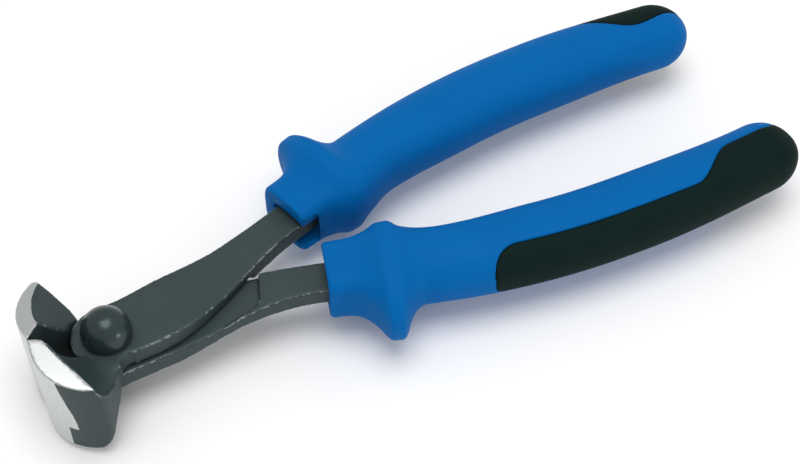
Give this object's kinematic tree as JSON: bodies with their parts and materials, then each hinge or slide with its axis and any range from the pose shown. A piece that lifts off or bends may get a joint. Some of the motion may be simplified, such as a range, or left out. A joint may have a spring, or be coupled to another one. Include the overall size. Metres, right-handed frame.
{
  "type": "end cutting nippers",
  "caption": "End cutting nippers with wide curved jaws across the tool's end, a riveted lap joint, joggled arms and guarded two-material grips; the jaws open about the rivet.",
  "frame": {"origin": "middle of the tool's box in plan, on the plane that the jaw ends lie on", "axes": "+X along the tool from the cutting edges to the handle ends, +Z along the rivet axis towards the over lever's domed head, +Y towards the over lever's handle"},
  "size_m": [0.2016, 0.0742, 0.0294],
  "materials": {
    "lever_steel": "blackened forged steel, ground bright on the jaws' fronts and ends",
    "rivet_steel": "blackened steel, smooth",
    "grip_plastic": "satin blue",
    "soft_grip": "matt black soft elastomer"
  },
  "bodies": {
    "over_half": {"over_lever": "lever_steel", "pivot_rivet": "rivet_steel", "over_sleeve": "grip_plastic", "over_inlay": "soft_grip"},
    "under_half": {"under_lever": "lever_steel", "under_sleeve": "grip_plastic", "under_inlay": "soft_grip"}
  },
  "joints": [
    {"name": "pivot", "type": "hinge", "parent": "over_half", "child": "under_half", "pos_m": [-0.08209, -0.00624, 0.0147], "axis": [0, 0, -1], "range_deg": [0, 40]}
  ]
}
